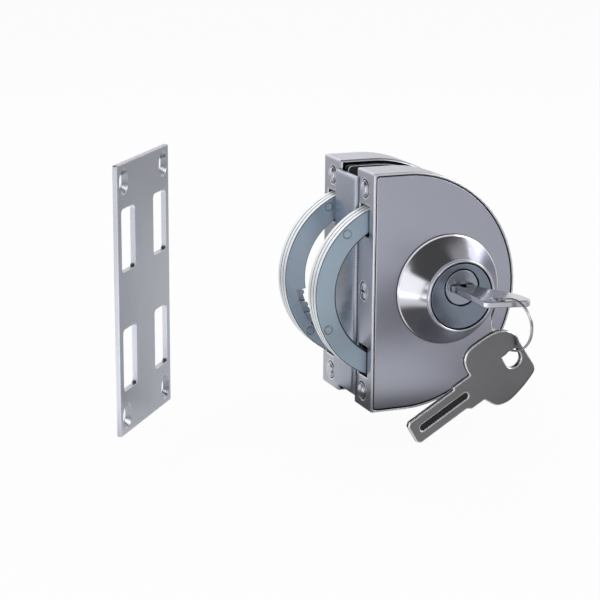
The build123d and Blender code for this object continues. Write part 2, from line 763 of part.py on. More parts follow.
with BuildPart() as cylinder_nut:
    with BuildSketch(layer(cylinder_back + 0.1)):
        with Locations((cylinder_x, 0)):
            Circle(cylinder_radius + 1.5)
            Circle(cylinder_radius + 0.05, mode=Mode.SUBTRACT)
            with PolarLocations(cylinder_radius + 1.5, 4):
                Rectangle(1.4, 2.4, mode=Mode.SUBTRACT)
    extrude(amount=web_back - cylinder_back - 0.1)
cylinder_nut.part.label = "cylinder_nut"
export_step(cylinder_nut.part, "parts/cylinder_nut.step")

clip_place = cylinder_back - 0.2
with BuildPart() as cylinder_plug:
    with BuildSketch(layer(plug_back)):
        with Locations((cylinder_x, plug_z)):
            Circle(plug_radius)
    extrude(amount=cylinder_face - plug_back)
    chamfer(cylinder_plug.faces().sort_by(Axis.Y)[0].edges(), 0.2)
    with BuildSketch(layer(blade_tip - 0.3)):
        with Locations((cylinder_x, plug_z)):
            Rectangle(blade_width + 0.12, key_thickness + 0.12)
    extrude(amount=blade_length + 2, mode=Mode.SUBTRACT)
    with BuildSketch(layer(plug_back - 1)):
        with Locations((cylinder_x, plug_z)):
            Rectangle(spindle_size + 0.06, spindle_size + 0.06)
    extrude(amount=1 + 3.0, mode=Mode.SUBTRACT)
    with BuildSketch(layer(clip_place - 1.0)):
        with Locations((cylinder_x, plug_z)):
            Circle(plug_radius + 1)
            Circle(plug_radius - 0.8, mode=Mode.SUBTRACT)
    extrude(amount=1.0, mode=Mode.SUBTRACT)
    with Locations(*[(cylinder_x, -d, plug_z - key_thickness / 2) for d in pin_places]):
        Cylinder(pin_radius + 0.05, plug_radius + 2, align=hanging, mode=Mode.SUBTRACT)
cylinder_plug.part.label = "cylinder_plug"
export_step(cylinder_plug.part, "parts/cylinder_plug.step")

with BuildPart() as plug_clip:
    with BuildSketch(layer(clip_place - 0.95)):
        with Locations((cylinder_x, plug_z)):
            Circle(plug_radius + 1.4)
            Circle(plug_radius - 0.75, mode=Mode.SUBTRACT)
        with Locations((cylinder_x, plug_z - plug_radius)):
            Rectangle(7.0, 8.0, mode=Mode.SUBTRACT)
    extrude(amount=0.9)
plug_clip.part.label = "plug_clip"
export_step(plug_clip.part, "parts/plug_clip.step")

groove_floor = plug_z - key_thickness / 2 + key_groove_depth
shear_line = plug_z - plug_radius
with BuildPart() as one_pin:
    with BuildSketch(Plane.XZ):
        with BuildLine():
            Polyline(
                (0, shear_line + 0.15),
                (pin_radius - 0.3, shear_line + 0.15),
                (pin_radius, shear_line + 0.4),
                (pin_radius, groove_floor - key_groove_depth - 0.25),
                (0.6, groove_floor - 0.1),
                (0, groove_floor - 0.1),
                close=True,
            )
        make_face()
    revolve(axis=Axis.Z)

with BuildPart() as key_pins:
    for d in pin_places:
        add(one_pin.part.moved(Location((cylinder_x, -d, 0))))
key_pins.part.label = "key_pins"
export_step(key_pins.part, "parts/key_pins.step")

driver_length = 4.0
with BuildPart() as driver_pins:
    with Locations(*[(cylinder_x, -d, shear_line - 0.12) for d in pin_places]):
        Cylinder(pin_radius, driver_length, align=hanging)
driver_pins.part.label = "driver_pins"
export_step(driver_pins.part, "parts/driver_pins.step")

cap_thickness = 1.2
chamber_end = -cylinder_radius + 0.5
spring_low = chamber_end + cap_thickness + 0.2
spring_high = shear_line - 0.12 - driver_length - 0.2
with BuildPart() as one_spring:
    with BuildLine():
        coil = Helix(pitch=(spring_high - spring_low) / 4, height=spring_high - spring_low, radius=0.75)
    with BuildSketch(Plane(origin=coil @ 0, z_dir=coil % 0)):
        Rectangle(0.28, 0.28)
    sweep(is_frenet=True)

with BuildPart() as driver_springs:
    for d in pin_places:
        add(one_spring.part.moved(Location((cylinder_x, -d, spring_low))))
driver_springs.part.label = "driver_springs"
export_step(driver_springs.part, "parts/driver_springs.step")

with BuildPart() as chamber_caps:
    with Locations(*[(cylinder_x, -d, chamber_end) for d in pin_places]):
        Cylinder(pin_radius + 0.03, cap_thickness, align=standing)
chamber_caps.part.label = "chamber_caps"
export_step(chamber_caps.part, "parts/chamber_caps.step")

# Keys and their ring
key_z = plug_z - key_thickness / 2
blade_left = cylinder_x - blade_width / 2
blade_right = cylinder_x + blade_width / 2
bow_hole_radius = 3.5
bow_hole_x = blade_left + 7.3
bow_hole_reach = key_shoulder + 30.0
groove_end = key_shoulder + 4.0
dimple_radius = 1.1
key_bevel = 0.35
with BuildPart() as inserted_key:
    with BuildSketch(Plane.XY.offset(key_z)):
        with BuildLine():
            Polyline(
                (blade_right, -key_shoulder - 4.0),
                (blade_right, -blade_tip - 1.0),
                (blade_right - 1.0, -blade_tip),
                (blade_left + 1.0, -blade_tip),
                (blade_left, -blade_tip - 1.0),
                (blade_left, -key_shoulder - 32.8),
                (blade_left + 21.4, -key_shoulder - 37.2),
                (blade_left + 21.3, -key_shoulder - 31.0),
            )
            Spline(
                (blade_left + 21.3, -key_shoulder - 31.0),
                (blade_left + 20.6, -key_shoulder - 26.3),
                (blade_left + 18.0, -key_shoulder - 19.3),
                (blade_left + 14.0, -key_shoulder - 12.3),
                (blade_left + 11.7, -key_shoulder - 7.8),
                (blade_right, -key_shoulder - 4.0),
            )
        make_face()
        fillet([v for v in vertices() if v.Y < -key_shoulder - 32.0], 3.2)
        with Locations((bow_hole_x, -bow_hole_reach)):
            Circle(bow_hole_radius, mode=Mode.SUBTRACT)
    extrude(amount=key_thickness)
    with BuildSketch(Plane.XY.offset(key_z)):
        with Locations((cylinder_x, (-blade_tip + 2 - groove_end) / 2)):
            SlotCenterToCenter(groove_end - blade_tip + 2, key_groove_width, rotation=90)
    extrude(amount=key_groove_depth, mode=Mode.SUBTRACT)
    with BuildSketch(Plane.XY.offset(key_z + key_thickness)):
        with Locations((cylinder_x, (-blade_tip + 2 - groove_end) / 2)):
            SlotCenterToCenter(groove_end - blade_tip + 2, key_groove_width, rotation=90)
    extrude(amount=-key_groove_depth, mode=Mode.SUBTRACT)
    for d, cut in zip(pin_places, key_cuts):
        with Locations((cylinder_x, -d, key_z + key_groove_depth)):
            Cone(dimple_radius, dimple_radius - cut, cut, align=standing, mode=Mode.SUBTRACT)
        with Locations((cylinder_x, -d, key_z + key_thickness - key_groove_depth)):
            Cone(dimple_radius - cut, dimple_radius, cut, align=hanging, mode=Mode.SUBTRACT)
    chamfer(inserted_key.faces().sort_by(Axis.Z)[-1].outer_wire().edges(), key_bevel)
    chamfer(inserted_key.faces().sort_by(Axis.Z)[0].outer_wire().edges(), key_bevel)
inserted_key.part.label = "inserted_key"
export_step(inserted_key.part, "parts/inserted_key.step")

ring_radius = 11.4
wire_radius = 0.43
ring_x = blade_left + 10.4
ring_reach = key_shoulder + 38.1
ring_z = plug_z - 8.2
ring_heading = 20.9             # of the ring's normal, from the door line
ring_plane = Plane(
    origin=(ring_x, -ring_reach, ring_z),
    x_dir=(0, 0, 1),
    z_dir=(cos(radians(ring_heading)), sin(radians(ring_heading)), 0),
)
with BuildPart() as key_ring:
    for side in (-1, 1):
        with Locations(ring_plane.offset(side * 0.41)):
            Torus(ring_radius, wire_radius)
key_ring.part.label = "key_ring"
export_step(key_ring.part, "parts/key_ring.step")

hang_angle = 30.9               # of the hanging key below the level
hang_reach = ring_reach + 3.0 - key_thickness
hang_plane = Plane(
    origin=(ring_x - 0.4, -hang_reach, ring_z - 14.4),
    x_dir=(cos(radians(hang_angle)), 0, sin(radians(hang_angle))),
    z_dir=(0, -1, 0),
)
hang_shoulder = -29.5
hang_groove_middle = -38.0
hang_groove_length = 26.0
hang_groove_line = -0.8
with BuildPart() as second_key:
    with BuildSketch(hang_plane):
        with BuildLine():
            Polyline(
                (-20.2, 7.0),
                (-20.2, 5.8),
                (-29.5, 5.8),
                (-29.5, 4.7),
                (-53.6, 4.7),
                (-55.0, 3.3),
                (-55.0, -4.9),
                (-53.6, -6.3),
                (-28.8, -6.3),
                (-28.1, -6.8),
                (-26.8, -7.8),
                (-20.0, -7.9),
            )
            Spline(
                (-20.0, -7.9),
                (-18.1, -11.4),
                (-16.5, -13.6),
                (-13.8, -15.0),
                (-10.7, -15.6),
                (-6.2, -15.1),
                (-0.6, -13.7),
                (4.2, -12.0),
                (6.1, -10.9),
                (6.9, -9.5),
                (7.1, -6.8),
            )
            Line((7.1, -6.8), (6.5, 5.0))
            Spline(
                (6.5, 5.0),
                (5.9, 10.0),
                (3.1, 13.2),
                (-0.6, 15.2),
                (-7.0, 16.1),
                (-12.3, 16.2),
                (-15.7, 15.7),
                (-17.8, 14.4),
                (-19.2, 12.7),
                (-20.0, 10.4),
                (-20.2, 7.0),
            )
        make_face()
        Circle(4.1, mode=Mode.SUBTRACT)
        with Locations((0, 1.9)):
            Rectangle(8.2, 3.8, mode=Mode.SUBTRACT)
    extrude(amount=key_thickness)
    with BuildSketch(hang_plane):
        with Locations((hang_groove_middle, hang_groove_line)):
            SlotOverall(hang_groove_length, key_groove_width)
    extrude(amount=key_groove_depth, mode=Mode.SUBTRACT)
    with BuildSketch(hang_plane.offset(key_thickness)):
        with Locations((hang_groove_middle, hang_groove_line)):
            SlotOverall(hang_groove_length, key_groove_width)
    extrude(amount=-key_groove_depth, mode=Mode.SUBTRACT)
    for n, cut in enumerate(key_cuts):
        spot = (hang_shoulder - 4.0 - pin_spacing * n, hang_groove_line)
        with Locations(hang_plane.offset(key_groove_depth)):
            with Locations(spot):
                Cone(dimple_radius, dimple_radius - cut, cut, align=standing, mode=Mode.SUBTRACT)
        with Locations(hang_plane.offset(key_thickness - key_groove_depth)):
            with Locations(spot):
                Cone(dimple_radius - cut, dimple_radius, cut, align=hanging, mode=Mode.SUBTRACT)
    chamfer(second_key.faces().sort_by(Axis.Y)[-1].outer_wire().edges(), key_bevel)
    chamfer(second_key.faces().sort_by(Axis.Y)[0].outer_wire().edges(), key_bevel)
second_key.part.label = "second_key"
export_step(second_key.part, "parts/second_key.step")

# Turn on the inside of the door
turn_radius = 20.0
turn_boss_radius = 11.9
turn_grip_length = 34.0
turn_grip_width = 9.0
turn_face = outer_face + 4.5
turn_end = turn_face + 17.0
with BuildPart() as drive_spindle:
    with Locations((cylinder_x, 0, plug_z)):
        with Locations(((0, (turn_face + 7.0 - plug_back - 2.8) / 2, 0))):
            Box(spindle_size, turn_face + 7.0 + plug_back + 2.8, spindle_size)
    chamfer(drive_spindle.edges().filter_by(Plane.XZ), 0.5)
drive_spindle.part.label = "drive_spindle"
export_step(drive_spindle.part, "parts/drive_spindle.step")

with BuildPart() as turn_rose:
    with BuildSketch(Plane(origin=(cylinder_x, 0, plug_z), x_dir=(1, 0, 0), z_dir=(0, 0, 1))):
        with BuildLine():
            Polyline(
                (plug_radius + 0.08, turn_face),
                (plug_radius + 0.08, cylinder_back),
                (turn_boss_radius, cylinder_back),
                (turn_boss_radius, outer_face),
                (turn_radius, outer_face),
                (turn_radius, outer_face + 2.0),
            )
            ThreePointArc(
                (turn_radius, outer_face + 2.0),
                (turn_radius - 0.75, outer_face + 3.75),
                (turn_radius - 2.5, turn_face),
            )
            Line((turn_radius - 2.5, turn_face), (plug_radius + 0.08, turn_face))
        make_face()
    revolve(axis=Axis((cylinder_x, 0, plug_z), (0, 1, 0)))
turn_rose.part.label = "turn_rose"
export_step(turn_rose.part, "parts/turn_rose.step")

with BuildPart() as thumb_turn:
    with BuildSketch(layer(-plug_back)):
        with Locations((cylinder_x, plug_z)):
            Circle(plug_radius)
    extrude(amount=-(turn_face + 2.0 - plug_back))
    with BuildSketch(layer(-turn_face - 0.3)):
        with Locations((cylinder_x, plug_z)):
            Circle(turn_radius - 5.0)
    extrude(amount=-3.2)
    with BuildSketch(layer(-turn_face - 0.3)):
        with Locations((cylinder_x, plug_z)):
            SlotOverall(turn_grip_length, turn_grip_width)
    extrude(amount=-(turn_end - turn_face - 0.3))
    fillet(thumb_turn.edges().group_by(Axis.Y)[-1], 2.4)
    with BuildSketch(layer(-clip_place + 1.0)):
        with Locations((cylinder_x, plug_z)):
            Circle(plug_radius + 1)
            Circle(plug_radius - 0.8, mode=Mode.SUBTRACT)
    extrude(amount=-1.0, mode=Mode.SUBTRACT)
    with BuildSketch(layer(-plug_back + 1)):
        with Locations((cylinder_x, plug_z)):
            Rectangle(spindle_size + 0.06, spindle_size + 0.06)
    extrude(amount=-(turn_face + 7.4 - plug_back + 1), mode=Mode.SUBTRACT)
thumb_turn.part.label = "thumb_turn"
export_step(thumb_turn.part, "parts/thumb_turn.step")

with BuildPart() as turn_clip:
    add(mirror(plug_clip.part, about=Plane.XZ))
turn_clip.part.label = "turn_clip"
export_step(turn_clip.part, "parts/turn_clip.step")

# Strike plate, set on a frame that is turned from the door line
strike_x = -96.96
strike_z = 5.11
strike_way = radians(strike_turn)
strike_slot_width = 15.5
strike_slot_height = 27.5
strike_slot_pitch_x = 37.0
strike_slot_pitch_z = 52.8
strike_hole_pitch_x = 46.0
strike_hole_pitch_z = 103.4
strike_face = Plane(
    origin=(strike_x, 0, strike_z),
    x_dir=(sin(strike_way), cos(strike_way), 0),
    z_dir=(cos(strike_way), -sin(strike_way), 0),
)
with BuildPart() as strike_plate:
    with BuildSketch(strike_face):
        Rectangle(strike_width, strike_height)
        fillet(vertices(), 0.8)
        with GridLocations(strike_slot_pitch_x, strike_slot_pitch_z, 2, 2):
            RectangleRounded(strike_slot_width, strike_slot_height, 2.0, mode=Mode.SUBTRACT)
        with GridLocations(strike_hole_pitch_x, strike_hole_pitch_z, 2, 2):
            SlotOverall(6.6, 5.2, rotation=90, mode=Mode.SUBTRACT)
    extrude(amount=-strike_thickness)
    with BuildSketch(strike_face):
        with GridLocations(strike_hole_pitch_x, strike_hole_pitch_z, 2, 2):
            SlotOverall(11.0, 9.6, rotation=90)
    extrude(amount=-2.2, taper=45, mode=Mode.SUBTRACT)
    chamfer(strike_plate.edges().group_by(Axis.Z)[-1], 0.3)
strike_plate.part.label = "strike_plate"
export_step(strike_plate.part, "parts/strike_plate.step")
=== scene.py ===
# %% [markdown]
# This lesson dresses a clamp-on lock for a sliding glass door. Its pieces come
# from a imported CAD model, which is loaded as a fixed frame in metres: the cases
# reach from X = 0 into +X, the key side is -Y and up is +Z. Nothing of that
# frame is moved. It gets light, a camera, finishes and the few pieces that are
# better modelled here than in CAD.

# %% Load the frame
import json
import math
import bpy
from mathutils import Matrix, Vector

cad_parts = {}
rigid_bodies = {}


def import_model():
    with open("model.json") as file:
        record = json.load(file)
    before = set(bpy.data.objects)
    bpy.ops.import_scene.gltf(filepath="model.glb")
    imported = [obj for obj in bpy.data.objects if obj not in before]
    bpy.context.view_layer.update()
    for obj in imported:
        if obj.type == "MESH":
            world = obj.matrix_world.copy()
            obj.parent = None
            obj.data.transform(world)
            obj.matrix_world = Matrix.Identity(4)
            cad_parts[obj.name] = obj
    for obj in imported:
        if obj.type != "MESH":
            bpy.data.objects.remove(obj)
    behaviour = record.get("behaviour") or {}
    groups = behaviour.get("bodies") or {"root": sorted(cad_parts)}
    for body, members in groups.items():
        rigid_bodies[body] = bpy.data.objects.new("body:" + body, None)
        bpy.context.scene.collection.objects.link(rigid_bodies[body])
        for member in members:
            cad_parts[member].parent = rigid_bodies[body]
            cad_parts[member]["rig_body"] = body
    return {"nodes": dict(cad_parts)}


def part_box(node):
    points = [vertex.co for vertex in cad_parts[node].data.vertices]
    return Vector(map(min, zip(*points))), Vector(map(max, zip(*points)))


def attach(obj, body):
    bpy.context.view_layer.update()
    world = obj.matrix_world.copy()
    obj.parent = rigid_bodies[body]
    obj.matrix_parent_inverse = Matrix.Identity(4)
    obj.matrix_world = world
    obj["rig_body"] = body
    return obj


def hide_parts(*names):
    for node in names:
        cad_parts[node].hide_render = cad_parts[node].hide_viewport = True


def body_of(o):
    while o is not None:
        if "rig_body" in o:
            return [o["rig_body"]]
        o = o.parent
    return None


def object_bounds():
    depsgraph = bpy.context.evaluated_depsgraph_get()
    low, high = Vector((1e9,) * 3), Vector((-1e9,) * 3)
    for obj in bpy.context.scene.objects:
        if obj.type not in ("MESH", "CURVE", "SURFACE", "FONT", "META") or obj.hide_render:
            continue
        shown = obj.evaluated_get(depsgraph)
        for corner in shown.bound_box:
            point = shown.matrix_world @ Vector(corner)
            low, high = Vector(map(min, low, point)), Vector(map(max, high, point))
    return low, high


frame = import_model()
cad_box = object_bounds()
mm = 0.001


def rounded(points, digits=4):
    """Points as tuples of rounded numbers, to print."""
    return [tuple(round(c, digits) for c in point) for point in points]


print("nodes:", len(frame["nodes"]), "box:", rounded(cad_box))

# %% [markdown]
# The photograph was taken with a long lens from the upper left of the key
# side. Heading, pitch and roll were measured from the straight edges of the
# cases and of the strike plate. A camera in Blender looks along its own -Z,
# so it is first tipped up by a quarter turn less the pitch.

# %% Camera
heading, pitch, roll = math.radians(21.932), math.radians(14.090), math.radians(0.364)
camera_place = (-0.334567, -0.772673, 0.202490)
photo_width, focal_pixels, film_width = 600, 1882.09, 36.0
bpy.ops.object.camera_add(location=camera_place)
camera = bpy.context.object
camera.name = "camera"
turn = Matrix.Rotation(-heading, 4, "Z") @ Matrix.Rotation(math.pi / 2 - pitch, 4, "X")
camera.rotation_euler = (turn @ Matrix.Rotation(roll, 4, "Z")).to_euler()
camera.data.sensor_width = film_width
camera.data.lens = focal_pixels / photo_width * film_width
camera.data.clip_start = 0.01
camera.data.clip_end = 200
bpy.context.scene.camera = camera
bpy.context.scene.view_settings.view_transform = "Standard"
print("lens:", round(camera.data.lens, 2))

# %% [markdown]
# A shader is a chain of nodes. Five small helpers let each line of a recipe
# say what it does: one feeds a socket with a link or with a plain value, one
# does sums, one looks up a kind of ray, and two make things glow and mix.

# %% Node helpers
def feed(tree, socket, source):
    """Links a source socket, or sets a plain value."""
    if isinstance(source, bpy.types.NodeSocket):
        tree.links.new(source, socket)
    else:
        socket.default_value = source


def calculate(tree, operation, *values):
    """A Math node, whose values are sockets or numbers."""
    node = tree.nodes.new("ShaderNodeMath")
    node.operation = operation
    for socket, value in zip(node.inputs, values):
        feed(tree, socket, value)
    return node.outputs[0]


def seen_by(tree, rays, share=1.0):
    """The given share for the named kinds of ray, and 0 for the others."""
    path = tree.nodes.new("ShaderNodeLightPath")
    value = path.outputs[rays[0]]
    for ray in rays[1:]:
        value = calculate(tree, "MAXIMUM", value, path.outputs[ray])
    return calculate(tree, "MULTIPLY", value, share)


def glow(tree, kind, level, colour=(1, 1, 1)):
    """An Emission or a Background node."""
    node = tree.nodes.new(kind)
    node.inputs["Color"].default_value = (*colour, 1)
    node.inputs["Strength"].default_value = level
    return node.outputs[0]


def mix_into(tree, end, share, plain, other):
    """Sends the output node a mix: plain where the share is 0, other where it is 1."""
    node = tree.nodes.new("ShaderNodeMixShader")
    feed(tree, node.inputs["Fac"], share)
    feed(tree, node.inputs[1], plain)
    feed(tree, node.inputs[2], other)
    feed(tree, end.inputs["Surface"], node.outputs[0])


print("helpers:", [h.__name__ for h in (feed, calculate, seen_by, glow, mix_into)])

# %% [markdown]
# A catalogue photograph of polished metal is mostly a photograph of what
# stands round it. The world is white where the camera or a mirror looks, and
# softer grey for the light that it sheds. A Light Path node tells the two
# apart, for the world and then for the floor.

# %% World
mirror_rays = ["Is Glossy Ray", "Is Transmission Ray"]
world = bpy.data.worlds.new("white_room")
bpy.context.scene.world = world
world.use_nodes = True
sky = world.node_tree
sky.nodes.clear()
sky_end = sky.nodes.new("ShaderNodeOutputWorld")
sky_shed = glow(sky, "ShaderNodeBackground", 0.6, (0.95, 0.97, 1.0))
sky_seen = glow(sky, "ShaderNodeBackground", 1.0)
mix_into(sky, sky_end, seen_by(sky, ["Is Camera Ray", *mirror_rays]), sky_shed, sky_seen)
print("world:", world.name)

# %% [markdown]
# The floor is a wide sheet of white paper. To the camera most of it glows by
# itself, so that it stays white, and the rest is shaded, so that the lock
# throws a faint shadow. Metal sees a larger share of the shading, because the
# darker paper close to the lock gives the lower half of a face its deeper tone.
# The sheet lies low enough for the spare key to hang straight down above it.

# %% Floor
swing_room = 19.0 * mm
floor_level = cad_box[0].z - swing_room
floor_width, camera_share, mirror_share = 100, 0.94, 0.42
bpy.ops.mesh.primitive_grid_add(
    x_subdivisions=4, y_subdivisions=4, size=floor_width, location=(0, 0, floor_level)
)
floor = bpy.context.object
floor.name = "floor"
paper = bpy.data.materials.new("white_paper")
paper.use_nodes = True
paper_tree = paper.node_tree
paper_shade = paper_tree.nodes["Principled BSDF"]
paper_shade.inputs["Base Color"].default_value = (0.86, 0.86, 0.86, 1)
paper_shade.inputs["Roughness"].default_value = 0.9
paper_shade.inputs["Specular IOR Level"].default_value = 0.0
paper_share = calculate(
    paper_tree, "ADD",
    seen_by(paper_tree, ["Is Camera Ray"], camera_share),
    seen_by(paper_tree, mirror_rays, mirror_share),
)
paper_glow = glow(paper_tree, "ShaderNodeEmission", 1.0)
paper_end = paper_tree.nodes["Material Output"]
mix_into(paper_tree, paper_end, paper_share, paper_shade.outputs[0], paper_glow)
floor.data.materials.append(paper)
print("floor at", round(floor_level, 4))

# %% [markdown]
# Metal without a highlight looks like grey plastic, so a product studio hangs
# cards round it: black ones that a polished cone turns into deep bands, and
# bright ones that draw a line along each rounded edge. Here a card is a plane
# that only mirrors see, and its rim fades out, as a soft box does. That takes
# three more node helpers: where a point lies on its own piece, one axis of a
# vector, and a stretch of one span of values over another.

# %% Node helpers for places
def object_place(tree):
    """Object coordinates, which stay with a piece when it moves."""
    return tree.nodes.new("ShaderNodeTexCoord").outputs["Object"]


def split(tree, vector):
    """The X, Y and Z of a vector, by name."""
    node = tree.nodes.new("ShaderNodeSeparateXYZ")
    feed(tree, node.inputs[0], vector)
    return node.outputs


def stretch(tree, value, start, end, low=0.0, high=1.0, smooth=False):
    """A Map Range node: from start to end the value becomes low to high."""
    node = tree.nodes.new("ShaderNodeMapRange")
    node.interpolation_type = "SMOOTHSTEP" if smooth else "LINEAR"
    ends = {"Value": value, "From Min": start, "From Max": end, "To Min": low, "To Max": high}
    for label, source in ends.items():
        feed(tree, node.inputs[label], source)
    return node.outputs["Result"]


print("helpers:", [h.__name__ for h in (object_place, split, stretch)])

# %% [markdown]
# A card is made once, as a helper, and its material with it: the distance from
# the card's middle, along each of its two sides, is stretched into a soft step,
# and the two steps together mix the glow with a clear shader. The first card is
# the ceiling, a wide and dim one.

# %% One studio card
def card(name, middle, size, toward, level, fade):
    """A plane that glows at a level. The fade is the share of each half that fades out."""
    bpy.ops.object.select_all(action="DESELECT")
    bpy.ops.mesh.primitive_plane_add(size=1, location=middle)
    panel = bpy.context.object
    panel.name = name
    panel.scale = (*size, 1)
    panel.rotation_euler = Vector(toward).to_track_quat("Z", "Y").to_euler()
    panel.visible_camera = False
    panel.visible_diffuse = False
    panel.visible_shadow = False
    material = bpy.data.materials.new(name)
    material.use_nodes = True
    tree = material.node_tree
    tree.nodes.remove(tree.nodes["Principled BSDF"])
    sides = split(tree, object_place(tree))
    half_side = 0.5
    steps = []
    for axis in "XY":
        away = calculate(tree, "ABSOLUTE", sides[axis])
        steps.append(stretch(tree, away, half_side * (1 - fade), half_side, 1.0, 0.0, smooth=True))
    clear = tree.nodes.new("ShaderNodeBsdfTransparent").outputs[0]
    lit = glow(tree, "ShaderNodeEmission", level)
    mix_into(tree, tree.nodes["Material Output"], calculate(tree, "MULTIPLY", *steps), clear, lit)
    panel.data.materials.append(material)
    print(name, "glows at", level)


up, down = (0, 0, 1), (0, 0, -1)
card("card_ceiling", (-0.68, 0.17, 0.55), (2.86, 1.14), down, 0.075, 0.2)

# %% [markdown]
# The other cards hang where the reflections in the photograph say that
# something bright or dark was: a bright back wall, a lit left side for the rims
# of the bolts, a very bright one at the right front, and dark ones under the
# lock for the foot of each face. Low cards that overlap lie a little above each
# other, because two planes at one height would show as a mixture.

# %% The other cards
low = cad_box[0].z + 0.6 * mm
low_second, low_third = low + 0.5 * mm, low + 0.8 * mm
card("card_ceiling_right", (0.36, 0.26, 0.54), (0.66, 0.72), down, 0.36, 0.65)
card("card_front", (0.55, -1.1, 0.25), (1.6, 0.9), (-0.2, 1, 0), 0.42, 0.3)
card("card_left", (-0.33, -0.12, 0.04), (0.42, 0.30), (1, 0.2, 0), 1.30, 0.35)
card("card_left_low", (-0.425, -0.21, low), (0.66, 0.56), up, 1.8, 0.25)
card("card_near", (0.015, -0.020, low), (0.20, 0.080), up, 0.10, 0.45)
card("card_near_right", (0.115, -0.085, low_third), (0.16, 0.13), up, 0.16, 0.6)
card("card_right_high", (1.05, 0.55, 0.62), (0.55, 0.60), (-0.8, -0.4, -0.5), 1.35, 0.2)
card("card_right_front", (1.00, -0.54, 0.62), (0.72, 0.72), (-0.8, 0.4, -0.5), 4.6, 0.2)
card("card_right_dark", (0.95, -0.75, 0.06), (0.80, 0.55), (-0.8, 0.6, 0), 0.12, 0.4)
card("card_back", (-0.15, 1.0, 0.66), (1.6, 0.50), (0, -1, -0.3), 1.7, 0.3)
card("card_floor_back", (-0.16, 0.36, low), (0.40, 0.56), up, 0.42, 0.5)
card("card_floor_right", (0.40, -0.36, low_second), (0.66, 0.62), up, 0.33, 0.8)
card("card_floor_far", (0.55, 0.34, low), (0.60, 0.50), up, 0.38, 0.7)

# %% [markdown]
# The lamps light what isn't wholly metal: the rubber, the spacers, the zinc of
# the bolts and the paper. They are large and soft, and kept out of mirrors, so
# that each reflection in the metal comes from the room and the cards alone.

# %% Lamps
lamp_aim = Vector((0.02, -0.02, 0.0))


def soft_lamp(name, place, size, power):
    """A rectangular lamp that looks at the lock."""
    bpy.ops.object.light_add(type="AREA", location=place)
    lamp = bpy.context.object
    lamp.name = name
    lamp.data.shape = "RECTANGLE"
    lamp.data.size, lamp.data.size_y = size
    lamp.data.energy = power
    lamp.rotation_euler = (Vector(place) - lamp_aim).to_track_quat("Z", "Y").to_euler()
    lamp.visible_glossy = False


soft_lamp("lamp_left", (-0.9, -0.7, 0.9), (0.9, 0.9), 5.0)
soft_lamp("lamp_right", (0.9, -0.8, 0.7), (0.6, 0.9), 3.0)
soft_lamp("lamp_back", (0.2, 0.9, 0.9), (1.2, 0.6), 3.0)

# %% [markdown]
# Satin metal is never quite even. One node group makes the unevenness for
# every finish of the lock: a fine grain for the roughness and the bump, and a
# slow drift for the colour. It is built once and each material sets its own
# sizes. Its sockets are made on the group's interface.

# %% Grain group
def new_group(name, inputs, outputs, kind="NodeSocketFloat"):
    """A shader node group, with its input values and output sockets by name."""
    group = bpy.data.node_groups.new(name, "ShaderNodeTree")
    for label, value in inputs.items():
        socket = group.interface.new_socket(label, in_out="INPUT", socket_type="NodeSocketFloat")
        socket.default_value = value
    for label in outputs:
        group.interface.new_socket(label, in_out="OUTPUT", socket_type=kind)
    given = group.nodes.new("NodeGroupInput").outputs
    made = group.nodes.new("NodeGroupOutput").inputs
    return group, given, made


def noise(tree, where, scale, detail):
    """A Noise Texture's value. The scale is per metre."""
    node = tree.nodes.new("ShaderNodeTexNoise")
    feed(tree, node.inputs["Vector"], where)
    feed(tree, node.inputs["Scale"], scale)
    feed(tree, node.inputs["Detail"], detail)
    return node.outputs["Fac"]


grain, grain_given, grain_made = new_group(
    "satin_grain", {"Grain Size": 2500.0, "Drift Size": 18.0}, ["Grain", "Drift"]
)
grain_place = object_place(grain)
feed(grain, grain_made["Grain"], noise(grain, grain_place, grain_given["Grain Size"], 2.0))
feed(grain, grain_made["Drift"], noise(grain, grain_place, grain_given["Drift Size"], 4.0))
print("group:", grain.name)

# %% [markdown]
# Brushed and rolled sheet has its scratches in one direction. The group
# stretches a noise along one axis by scaling the coordinates before they
# reach the texture, so the same group serves a plate brushed up and down and
# a key that was drawn lengthways.

# %% Brush group
brush, brush_given, brush_made = new_group(
    "brush_marks", {"Along X": 60.0, "Along Y": 2600.0, "Along Z": 2600.0}, ["Marks"]
)
brush_scale = brush.nodes.new("ShaderNodeCombineXYZ")
for axis in "XYZ":
    feed(brush, brush_scale.inputs[axis], brush_given["Along " + axis])
brush_map = brush.nodes.new("ShaderNodeMapping")
feed(brush, brush_map.inputs["Vector"], object_place(brush))
feed(brush, brush_map.inputs["Scale"], brush_scale.outputs[0])
feed(brush, brush_made["Marks"], noise(brush, brush_map.outputs[0], 1.0, 2.0))
print("group:", brush.name)

# %% [markdown]
# Sheared and rounded edges are brighter than the flat faces beside them: on the bolts and the hanging key
# that is a painted highlight, and on the spacers it is their light cut edge. The flat faces of the bolts,
# of the hanging key and of the spacers look along the Y axis, so one group turns the surface's own
# direction into a mask of what isn't such a face. A Bevel node averages that direction over a small
# radius. The second mask is open half way between face and rim, where a painted shade draws the sheared
# corner of each bolt plate as a thin dark line.

# %% Rim group
def averaged_normal(tree, radius):
    """The surface direction, averaged over a small radius."""
    node = tree.nodes.new("ShaderNodeBevel")
    node.samples = 6
    feed(tree, node.inputs["Radius"], radius)
    return node.outputs["Normal"]


